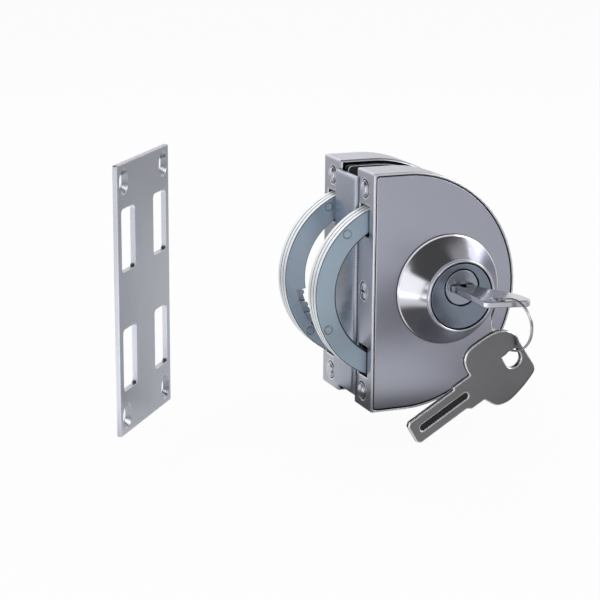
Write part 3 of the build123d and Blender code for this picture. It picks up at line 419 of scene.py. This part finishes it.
rim_starts, rim_is_full = 0.94, 0.86
corner_middle, corner_starts, corner_is_full = 0.72, 0.26, 0.18
rim, rim_given, rim_made = new_group("rim_mask", {"Radius": 0.3 * mm}, ["Rim", "Corner"])
rim_along_y = split(rim, averaged_normal(rim, rim_given["Radius"]))["Y"]
rim_facing = calculate(rim, "ABSOLUTE", rim_along_y)
feed(rim, rim_made["Rim"], stretch(rim, rim_facing, rim_starts, rim_is_full))
corner_away = calculate(rim, "ABSOLUTE", calculate(rim, "SUBTRACT", rim_facing, corner_middle))
feed(rim, rim_made["Corner"], stretch(rim, corner_away, corner_starts, corner_is_full))
print("group:", rim.name)

# %% [markdown]
# Edges get a painted highlight. Where the surface direction, averaged over a small radius, differs from
# the surface's own, there is an edge near by, and the group puts out how much. The rivets use the same
# mask for a painted shade, a dark ring round their heads.

# %% Painted edge group
painted_edge_starts, painted_edge_is_full = 0.985, 0.88
painted_edge, painted_edge_given, painted_edge_made = new_group("painted_edge_mask", {"Radius": 0.8 * mm}, ["Wear"])
painted_edge_match = painted_edge.nodes.new("ShaderNodeVectorMath")
painted_edge_match.operation = "DOT_PRODUCT"
feed(painted_edge, painted_edge_match.inputs[0], averaged_normal(painted_edge, painted_edge_given["Radius"]))
feed(painted_edge, painted_edge_match.inputs[1], painted_edge.nodes.new("ShaderNodeNewGeometry").outputs["True Normal"])
feed(painted_edge, painted_edge_made["Wear"], stretch(painted_edge, painted_edge_match.outputs["Value"], painted_edge_starts, painted_edge_is_full))
print("group:", painted_edge.name)

# %% [markdown]
# Some finishes change across the thickness of a piece: the glass side of each case is near black, and a
# painted shade sits at the foot of the key's groove and along the middle of its sheared edge. The group is
# open between two distances from the middle of the glass.

# %% Layer group
layer, layer_given, layer_made = new_group("layer_mask", {"Near": 0.0, "Far": 1.0 * mm}, ["Inside"])
layer_reach = calculate(layer, "ABSOLUTE", split(layer, object_place(layer))["Y"])
layer_beyond = calculate(layer, "GREATER_THAN", layer_reach, layer_given["Near"])
layer_within = calculate(layer, "LESS_THAN", layer_reach, layer_given["Far"])
feed(layer, layer_made["Inside"], calculate(layer, "MULTIPLY", layer_beyond, layer_within))
print("group:", layer.name)

# %% [markdown]
# Seams get a painted shade: in the groove round the face plate and in the slots that the bolts leave by.
# An Ambient Occlusion node measures how much of the near surroundings is open, and the group sharpens that
# into a mask, so that a seam reads as a dark line while a free edge stays clean.

# %% Seam group
seam_shade, seam_shade_given, seam_shade_made = new_group(
    "painted_seam_shade", {"Reach": 1.2 * mm, "Closed": 0.35, "Free": 0.72}, ["Open"]
)
seam_shade_near = seam_shade.nodes.new("ShaderNodeAmbientOcclusion")
seam_shade_near.samples = 8
feed(seam_shade, seam_shade_near.inputs["Distance"], seam_shade_given["Reach"])
seam_shade_free = stretch(
    seam_shade, seam_shade_near.outputs["AO"], seam_shade_given["Closed"], seam_shade_given["Free"], smooth=True
)
feed(seam_shade, seam_shade_made["Open"], seam_shade_free)
print("group:", seam_shade.name)

# %% [markdown]
# No machined edge is perfectly sharp. The CAD model rounds the edges that a
# hand would feel, and the finest ones are left to the shader: the averaged
# direction is put out as a normal, so that an edge catches the light as a
# thin line.

# %% Soft edge group
soft, soft_given, soft_made = new_group("soft_edge", {"Radius": 0.4 * mm}, ["Normal"], "NodeSocketVector")
feed(soft, soft_made["Normal"], averaged_normal(soft, soft_given["Radius"]))
print("group:", soft.name)

# %% [markdown]
# Every finish below, metal or not, is one recipe with its own numbers. The drift moves the colour between
# two tones, and the grain or the brush marks feed the roughness and a bump. Over the tones come the masks,
# each over the last: a lighter rim with its dark corner line, painted highlight on the bolts and the key
# and painted shade on the corner, painted edges, a dark band, and a painted shade in the seams.
# A noise seldom leaves 0.3 to 0.7, so that span is stretched to the full one.

# %% Parts of the recipe
noise_low, noise_high = 0.3, 0.7
seam_shade_tone = 0.12


def spread(tree, source, low, high):
    """A noise, stretched over the whole way from low to high."""
    return stretch(tree, source, noise_low, noise_high, low, high)


def effect(tree, group, values):
    """A shared group in this material, with this finish's own values."""
    node = tree.nodes.new("ShaderNodeGroup")
    node.node_tree = group
    for label, value in values.items():
        node.inputs[label].default_value = value
    return node.outputs


def as_colour(source):
    """A plain colour gets its fourth value, and a socket stays as it is."""
    return (*source, 1) if isinstance(source, (tuple, list)) else source


def paint(tree, mask, under, over):
    """One colour under a mask and another over it. Each is plain or a socket."""
    node = tree.nodes.new("ShaderNodeMix")
    node.data_type = "RGBA"
    feed(tree, node.inputs["Factor"], mask)
    feed(tree, node.inputs["A"], as_colour(under))
    feed(tree, node.inputs["B"], as_colour(over))
    return node.outputs["Result"]


def coat(tree, shade, mask, tone, colour, metallic, masked_metallic):
    """Where the mask is open, another colour and another share of metal."""
    feed(tree, shade.inputs["Metallic"], stretch(tree, mask, 0.0, 1.0, metallic, masked_metallic))
    return paint(tree, mask, tone, colour)


print("a seam keeps", seam_shade_tone, "of the dark tone")

# %% [markdown]
# The recipe itself. Lengths are in millimetres and the grain size is per metre, so 2500 is a grain of 0.4
# mm. A rim or a painted edge is a radius, a colour and how metallic it is, and a band is its two distances
# and a colour.
# The gears, the spindle and the other inner pieces are the first to use it:
# they are plain steel, with no mask but the seams.

# %% The recipe
finish = {}


def add_finish(
    name, dark, light, rough, grain_size, bump, metallic=1.0, brushed=None,
    rim_coat=None, corner=None, painted_edge_coat=None, band=None,
    seam=1.2, seam_range=(0.35, 0.72), edge=0.35,
):
    """Makes one material and keeps it under its name."""
    material = bpy.data.materials.new(name)
    material.use_nodes = True
    tree = material.node_tree
    shade = tree.nodes["Principled BSDF"]
    shade.inputs["Metallic"].default_value = metallic
    spots = effect(tree, grain, {"Grain Size": grain_size})
    tone = paint(tree, spread(tree, spots["Drift"], 0.0, 1.0), dark, light)
    # A lighter rim, a painted highlight on the bolts and the hanging key, and a painted dark line on its
    # corner.
    if rim_coat:
        radius, colour, rim_metallic = rim_coat
        masks = effect(tree, rim, {"Radius": radius * mm})
        tone = coat(tree, shade, masks["Rim"], tone, colour, metallic, rim_metallic)
        if corner:
            tone = paint(tree, masks["Corner"], tone, corner)
    # A painted highlight along the edges, or a painted shade ring round a rivet's head.
    if painted_edge_coat:
        radius, colour, painted_edge_metallic = painted_edge_coat
        mask = effect(tree, painted_edge, {"Radius": radius * mm})["Wear"]
        tone = coat(tree, shade, mask, tone, colour, metallic, painted_edge_metallic)
    # A band across the thickness: painted shade on the hanging key, near black on the glass side of the
    # cases.
    if band:
        near, far, colour = band
        mask = effect(tree, layer, {"Near": near * mm, "Far": far * mm})["Inside"]
        tone = paint(tree, mask, tone, colour)
    # Painted shade: a seam darkens towards a share of the dark tone.
    closed, free = seam_range
    mask = effect(tree, seam_shade, {"Reach": seam * mm, "Closed": closed, "Free": free})["Open"]
    feed(tree, shade.inputs["Base Color"], paint(tree, mask, [seam_shade_tone * c for c in dark], tone))
    marks = spots["Grain"]
    if brushed:
        marks = effect(tree, brush, {"Along " + axis: size for axis, size in zip("XYZ", brushed)})["Marks"]
    feed(tree, shade.inputs["Roughness"], spread(tree, marks, *rough))
    height = tree.nodes.new("ShaderNodeBump")
    height.inputs["Strength"].default_value = 1.0
    height.inputs["Distance"].default_value = bump * mm
    feed(tree, height.inputs["Height"], marks)
    if edge:
        feed(tree, height.inputs["Normal"], effect(tree, soft, {"Radius": edge * mm})["Normal"])
    feed(tree, shade.inputs["Normal"], height.outputs["Normal"])
    finish[name] = material
    print("finish:", name)


add_finish("steel_inside", (0.22, 0.23, 0.25), (0.29, 0.30, 0.32), (0.32, 0.44), 2000, 0.012)

# %% [markdown]
# The cases and face plates are plated in satin nickel: a grey with a little violet, with a painted
# highlight that turns the corners of the castings white. A line drawn on would follow only the edges it
# was drawn on, while the edge mask finds them all. The face plates are a shade lighter and rougher. The
# bar between the cases mirrors the white left side of the room, so its satin metal is darker and bluer
# here, to come out as the photograph shows it, and its edges get the same painted highlight.

# %% Satin nickel
glass_side_black, glass_side_edge = (0.012, 0.012, 0.014), 9.08
# Near black on the glass side, and a painted highlight on the corners of the castings.
add_finish(
    "nickel_case", (0.46, 0.465, 0.53), (0.49, 0.495, 0.56), (0.31, 0.34), 2600, 0.003,
    edge=0.9, seam_range=(0.45, 0.85),
    band=(0.0, glass_side_edge, glass_side_black), painted_edge_coat=(1.7, (1.0, 1.0, 1.0), 0.8),
)
add_finish(
    "nickel_plate", (0.49, 0.50, 0.585), (0.52, 0.53, 0.615), (0.35, 0.38), 3000, 0.002,
    edge=0.3, seam_range=(0.45, 0.85),
)
add_finish(
    "nickel_bar", (0.33, 0.36, 0.43), (0.38, 0.41, 0.48), (0.26, 0.30), 2600, 0.003,
    edge=1.2, painted_edge_coat=(1.7, (0.95, 0.97, 1.0), 0.7),
)

# %% [markdown]
# The bolts are stacks of sheared plates with bright zinc on them, bluer than nickel. Bright zinc scatters
# part of the light, so it isn't wholly metallic, and least of all on its rim, which carries a painted
# highlight that glows against the white room, with a painted shade as a dark line on its corner. The rear
# bolt mirrors the back of the front one, which would make it darker than in the photograph, so its zinc is
# lighter. A rivet's head has a painted shade, a dark ring round it.

# %% Zinc
# Painted highlight on the bolt rims, painted shade on their corners and round the rivet heads.
zinc_rim_highlight = (0.3, (0.90, 0.93, 0.95), 0.45)
zinc_corner_shade = (0.04, 0.06, 0.08)
rivet_shade_ring = (0.5, (0.02, 0.025, 0.035), 0.8)


def zinc_plates(name, dark, light, metallic):
    """The three plates of one bolt."""
    add_finish(
        name, dark, light, (0.30, 0.35), 2200, 0.006, metallic,
        rim_coat=zinc_rim_highlight, corner=zinc_corner_shade, seam=0.9, seam_range=(0.55, 0.92), edge=0.3,
    )


def zinc_rivets(name, dark, light, metallic):
    """The four rivets through them."""
    add_finish(name, dark, light, (0.22, 0.30), 2600, 0.008, metallic, painted_edge_coat=rivet_shade_ring, edge=0.3)


rear_zinc = (0.47, 0.56, 0.65), (0.53, 0.62, 0.71)
zinc_plates("zinc_bolt", (0.35, 0.44, 0.52), (0.40, 0.49, 0.57), 0.7)
zinc_rivets("zinc_rivet", (0.36, 0.45, 0.53), (0.41, 0.50, 0.58), 0.8)
zinc_plates("zinc_bolt_rear", *rear_zinc, 0.6)
zinc_rivets("zinc_rivet_rear", *rear_zinc, 0.7)

# %% [markdown]
# The cone round the cylinder is polished, so it mirrors the studio in bands and takes no softened edge.
# The cylinder's face and the plug in it are turned and only half polished. The painted shade in the seams
# round all three is set to darken early, because the gap round a cylinder shows as a dark ring.

# %% Chrome
add_finish(
    "polished_chrome", (0.63, 0.63, 0.68), (0.67, 0.67, 0.72), (0.13, 0.16), 900, 0.001,
    edge=0.0, seam=1.6, seam_range=(0.5, 0.92),
)
add_finish(
    "chrome_cylinder", (0.21, 0.245, 0.305), (0.255, 0.29, 0.355), (0.20, 0.27), 3000, 0.003,
    edge=0.3, seam_range=(0.5, 0.9),
)
add_finish(
    "chrome_plug", (0.33, 0.35, 0.41), (0.38, 0.40, 0.46), (0.18, 0.25), 3000, 0.003,
    edge=0.3, seam_range=(0.5, 0.9),
)

# %% [markdown]
# The inserted key was drawn lengthways and shows it as streaks. The hanging key is seen against the light:
# its faces carry a painted shade, nearly black, between rounded rims with a painted highlight, and a
# painted shade draws a dark line along the middle of its sheared edge. The split ring is bright, smooth
# wire, which mirrors the room as it is.

# %% Keys and ring
# Painted shade along the middle of the key's sheared edge and at the foot of its groove.
key_shade_band = (82.3, 83.52, (0.03, 0.03, 0.03))
add_finish(
    "key_shank", (0.40, 0.40, 0.44), (0.66, 0.66, 0.70), (0.10, 0.24), 2400, 0.03,
    brushed=(1100.0, 60.0, 1100.0), edge=0.5,
)
add_finish(
    "key_nickel_painted_light", (0.16, 0.155, 0.16), (0.20, 0.19, 0.20), (0.20, 0.26), 2400, 0.004,
    rim_coat=(1.3, (0.86, 0.86, 0.88), 1.0), band=key_shade_band, edge=1.3,
)
add_finish("ring_wire", (0.44, 0.44, 0.47), (0.50, 0.50, 0.53), (0.08, 0.13), 2400, 0.002, edge=0)

# %% [markdown]
# The screws are nickel plated like the cases and a little lighter. The pins in
# the cylinder and their caps are brass.

# %% Screws and brass
add_finish("screw_nickel", (0.56, 0.57, 0.63), (0.62, 0.63, 0.69), (0.30, 0.36), 3000, 0.003, edge=0.4)
add_finish("brass_pin", (0.62, 0.46, 0.20), (0.69, 0.52, 0.25), (0.22, 0.30), 3000, 0.004)

# %% [markdown]
# The strike plate is steel sheet, brushed up and down, with a painted highlight along its edges. The brush
# marks come from the noise that is stretched along Z, which needs no picture file and no unwrapping.

# %% Brushed steel
add_finish(
    "steel_strike", (0.40, 0.41, 0.46), (0.46, 0.47, 0.52), (0.28, 0.34), 2600, 0.004,
    brushed=(900.0, 900.0, 40.0), edge=0.5, painted_edge_coat=(0.6, (0.84, 0.84, 0.88), 0.9),
)

# %% [markdown]
# Three finishes aren't metallic at all. The guide plates are near black, a painted shade, because the
# photograph shows the slots beside the bolts as black. The pads are dull rubber. The spacers are thin
# sheets: their cut edge is light, and their faces, which lie in the dark of the gap, carry a painted
# shade.

# %% Black, rubber and spacers
add_finish(
    # Painted shade: the guide plates stand near black for the shade in the slots.
    "slot_painted_shade", (0.012, 0.012, 0.014), (0.022, 0.022, 0.024), (0.55, 0.65), 2000, 0.01,
    metallic=0.0, edge=0,
)
add_finish(
    "rubber", (0.008, 0.008, 0.010), (0.016, 0.016, 0.018), (0.72, 0.85), 1800, 0.03,
    metallic=0.0, edge=0,
)
add_finish(
    "spacer", (0.014, 0.014, 0.016), (0.022, 0.022, 0.024), (0.5, 0.6), 1800, 0.01,
    metallic=0.0, rim_coat=(0.3, (0.55, 0.56, 0.60), 0.0), edge=0,
)
rubber_gloss = 0.25
rubber_shade = finish["rubber"].node_tree.nodes["Principled BSDF"]
rubber_shade.inputs["Specular IOR Level"].default_value = rubber_gloss
print("finishes:", sorted(finish))

# %% [markdown]
# The CAD nodes keep their shape and only change their finish. Assigning to
# the first material slot is enough, because each node came with one. The inner
# pieces aren't named in the table, and get the plain steel.

# %% Dress the nodes
finish_of = {
    "nickel_case": ["front_case", "rear_case", "turn_rose"],
    "nickel_plate": ["front_face_plate", "rear_face_plate", "thumb_turn"],
    "nickel_bar": ["edge_bar"],
    "zinc_bolt": ["front_bolt_outer_plate", "front_bolt_gear_plate", "front_bolt_inner_plate"],
    "zinc_bolt_rear": ["rear_bolt_outer_plate", "rear_bolt_gear_plate", "rear_bolt_inner_plate"],
    "zinc_rivet": ["front_bolt_rivets"],
    "zinc_rivet_rear": ["rear_bolt_rivets"],
    "polished_chrome": ["cylinder_rosette"],
    "chrome_cylinder": ["cylinder_body"],
    "chrome_plug": ["cylinder_plug"],
    "key_shank": ["inserted_key"],
    "key_nickel_painted_light": ["second_key"],
    "ring_wire": ["key_ring"],
    "screw_nickel": ["side_dome_screws", "side_cross_screws", "clamp_screws", "back_plate_screws"],
    "brass_pin": ["key_pins", "driver_pins", "chamber_caps"],
    "steel_strike": ["strike_plate"],
    "rubber": ["front_rubber_pad", "rear_rubber_pad"],
    "spacer": ["front_glass_spacer", "rear_glass_spacer"],
    "slot_painted_shade": ["front_guide_plate", "rear_guide_plate"],
}
kind_of = {name: kind for kind, names in finish_of.items() for name in names}
for name, node in frame["nodes"].items():
    node.material_slots[0].material = finish[kind_of.get(name, "steel_inside")]
print("dressed:", len(kind_of), "inner steel:", len(frame["nodes"]) - len(kind_of))

# %% [markdown]
# New pieces are modelled as by hand: a primitive, then edit mode. One helper
# picks faces or edges by where they are or which way they look, so that each
# step says in code what a modeller would click on. The others push what is
# picked, settle a piece's place into its mesh, and seal the finished piece.

# %% Modelling helpers
def pick(piece, kind, test):
    """Selects, in edit mode, the faces or edges that pass the test."""
    if bpy.context.mode != "EDIT_MESH":
        bpy.ops.object.mode_set(mode="EDIT")
    bpy.ops.mesh.select_mode(type=kind)
    bpy.ops.mesh.select_all(action="DESELECT")
    bpy.ops.object.mode_set(mode="OBJECT")
    mesh = piece.data
    if kind == "FACE":
        for face in mesh.polygons:
            face.select = test(face.center, face.normal)
    else:
        for edge in mesh.edges:
            edge.select = test(*[mesh.vertices[i].co for i in edge.vertices])
    bpy.ops.object.mode_set(mode="EDIT")


def push(distance):
    """Extrudes the picked faces along X."""
    bpy.ops.mesh.extrude_region_move(TRANSFORM_OT_translate={"value": (distance, 0, 0)})


def settle():
    """Puts the place, turn and scale of the selected piece into its mesh."""
    bpy.ops.object.transform_apply(location=True, rotation=True, scale=True)


def seal(piece, kind, node, slot_name, angle):
    """Out of edit mode: normals outwards, smooth where it is round, then finish, slot, body and node."""
    bpy.ops.mesh.select_all(action="SELECT")
    bpy.ops.mesh.normals_make_consistent(inside=False)
    bpy.ops.object.mode_set(mode="OBJECT")
    settle()
    bpy.ops.object.shade_smooth_by_angle(angle=math.radians(angle))
    piece.data.materials.clear()
    piece.data.materials.append(finish[kind])
    body = body_of(frame["nodes"][node])[0]
    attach(piece, body)
    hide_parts(node)
    print(piece.name, "rides on", body, "and replaces", node)


print("helpers:", [h.__name__ for h in (pick, push, settle, seal)])

# %% [markdown]
# The bar on the hook side has generously rounded front edges, which shine from
# end to end, and it laps a little over both cases. A swept profile would leave
# its two ends sharp, so a block is bevelled on all its front edges at once. Its
# back is inset and pushed in twice: for the tongue that fills the gap, and for
# the rib that the glass stops against.

# %% Edge bar
bar_low, bar_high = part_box("edge_bar")
bar_stand, bar_lap, bar_round = 2.0 * mm, 1.2 * mm, 1.7 * mm
bar_half = bar_high.y + bar_lap
tongue_half, tongue_depth = 8.95 * mm, 1.0 * mm
rib_inset, rib_depth = 4.0 * mm, 1.0 * mm
bpy.ops.object.select_all(action="DESELECT")
bpy.ops.mesh.primitive_cube_add(size=1, location=(-bar_stand / 2, 0, 0))
bar = bpy.context.object
bar.name = "edge_bar_cast"
bar.scale = (bar_stand, 2 * bar_half, bar_high.z - bar_low.z)
settle()
pick(bar, "EDGE", lambda a, b: max(a.x, b.x) < -bar_stand / 2)
bpy.ops.mesh.bevel(offset=bar_round, segments=6, affect="EDGES")
pick(bar, "FACE", lambda middle, normal: normal.x > 0.9)
bpy.ops.mesh.inset(thickness=bar_half - tongue_half)
push(tongue_depth)
bpy.ops.mesh.inset(thickness=rib_inset)
push(rib_depth)
seal(bar, "nickel_bar", "edge_bar", "edge_bar", 40)
print("edge bar:", len(bar.data.polygons), "faces")

# %% [markdown]
# The four screws beside the bolts have a flat flange and a small ball in its
# middle, with a fine ring pressed between the two. A sphere stuck on a disc
# would hide a crossing inside, so one closed disc is shaped all the way: the
# flange's rim is bevelled, its face is inset and sunk for the ring, then
# pushed out again and inset ring by ring for the ball. Its shank goes the
# other way, into the case.

# %% One dome screw
flange_radius, flange_top, flange_foot = 3.8 * mm, -0.35 * mm, 0.9 * mm
flange_round, groove_width, groove_depth = 0.25 * mm, 0.12 * mm, 0.28 * mm
ball_radius, ball_rise, ball_rings, ball_end = 3.15 * mm, 1.45 * mm, 7, math.radians(80)
shank_inset, shank_length = 1.8 * mm, 3.9 * mm
bpy.ops.object.select_all(action="DESELECT")
bpy.ops.mesh.primitive_cylinder_add(
    vertices=64, radius=flange_radius, depth=flange_foot - flange_top,
    location=((flange_foot + flange_top) / 2, 0, 0), rotation=(0, math.pi / 2, 0),
)
screw = bpy.context.object
screw.name = "side_dome_screw_0"
settle()
pick(screw, "EDGE", lambda a, b: max(a.x, b.x) < flange_top / 2)
bpy.ops.mesh.bevel(offset=flange_round, segments=3, affect="EDGES")
pick(screw, "FACE", lambda middle, normal: normal.x < -0.99)
bpy.ops.mesh.inset(thickness=flange_radius - flange_round - ball_radius - groove_width)
push(groove_depth)
bpy.ops.mesh.inset(thickness=groove_width)
push(-groove_depth)
for ring_number in range(ball_rings):
    here, above = (ball_end * (ring_number + step) / ball_rings for step in (0, 1))
    bpy.ops.mesh.inset(
        thickness=ball_radius * (math.cos(here) - math.cos(above)),
        depth=ball_rise * (math.sin(above) - math.sin(here)),
    )
pick(screw, "FACE", lambda middle, normal: normal.x > 0.99 and middle.x > flange_foot / 2)
bpy.ops.mesh.inset(thickness=shank_inset)
push(shank_length)
bpy.ops.object.mode_set(mode="OBJECT")
print("dome screw:", len(screw.data.polygons), "faces")

# %% [markdown]
# Two screws hold each case's side, one above and one below the bolt. The first
# is copied three times, each copy with its own mesh, and all four then go to
# the corners of the space that the CAD screws fill.

# %% Four dome screws
def choose(piece):
    """Selects one piece and nothing else."""
    bpy.ops.object.select_all(action="DESELECT")
    piece.select_set(True)
    bpy.context.view_layer.objects.active = piece


dome_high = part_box("side_dome_screws")[1]
screw_side, screw_level = dome_high.y - flange_radius, dome_high.z - flange_radius
spots = [(0, side * screw_side, height * screw_level) for side in (-1, 1) for height in (-1, 1)]
screws = [screw]
for number in range(1, len(spots)):
    choose(screw)
    bpy.ops.object.duplicate(linked=False)
    screws.append(bpy.context.object)
    screws[-1].name = f"side_dome_screw_{number}"
for piece, spot in zip(screws, spots):
    choose(piece)
    piece.location = spot
    bpy.ops.object.mode_set(mode="EDIT")
    seal(piece, "screw_nickel", "side_dome_screws", "screw_steel", 35)
print("dome screws:", rounded(spots))

# %% [markdown]
# A split ring is one spring wire wound twice, its turns lying against each
# other. Two closed rings side by side would have no ends, where a real one
# opens. A small circle carried round by a Screw modifier gives the winding,
# and once the modifier is applied both cut ends are closed.

# %% Split ring
ring_low, ring_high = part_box("key_ring")
ring_middle = (ring_low + ring_high) / 2
wire_radius, wire_pitch, wire_room = 0.40 * mm, 0.82 * mm, 0.43 * mm
ring_radius = (ring_high.z - ring_low.z) / 2 - wire_room
ring_heading, ring_opening = math.radians(20.9), 0.25
bpy.ops.object.select_all(action="DESELECT")
bpy.ops.mesh.primitive_circle_add(
    vertices=16, radius=wire_radius, location=(ring_radius, 0, 0), rotation=(math.pi / 2, 0, 0)
)
ring = bpy.context.object
ring.name = "split_ring"
settle()
coil = ring.modifiers.new("coil", "SCREW")
coil.axis = "Z"
coil.angle = 4 * math.pi - ring_opening
coil.screw_offset = 2 * wire_pitch
coil.steps = coil.render_steps = 160
coil.use_smooth_shade = True
bpy.ops.object.modifier_apply(modifier="coil")
bpy.ops.object.mode_set(mode="EDIT")
bpy.ops.mesh.select_all(action="SELECT")
bpy.ops.mesh.fill_holes(sides=0)
bpy.ops.object.mode_set(mode="OBJECT")
ring.location = (0, 0, -wire_pitch)
settle()
ring_axis = Vector((math.cos(ring_heading), math.sin(ring_heading), 0))
ring.rotation_euler = ring_axis.to_track_quat("Z", "Y").to_euler()
ring.location = ring_middle
bpy.ops.object.mode_set(mode="EDIT")
seal(ring, "ring_wire", "key_ring", "ring_steel", 60)
print("split ring:", rounded((ring_middle, ring_low, ring_high)))
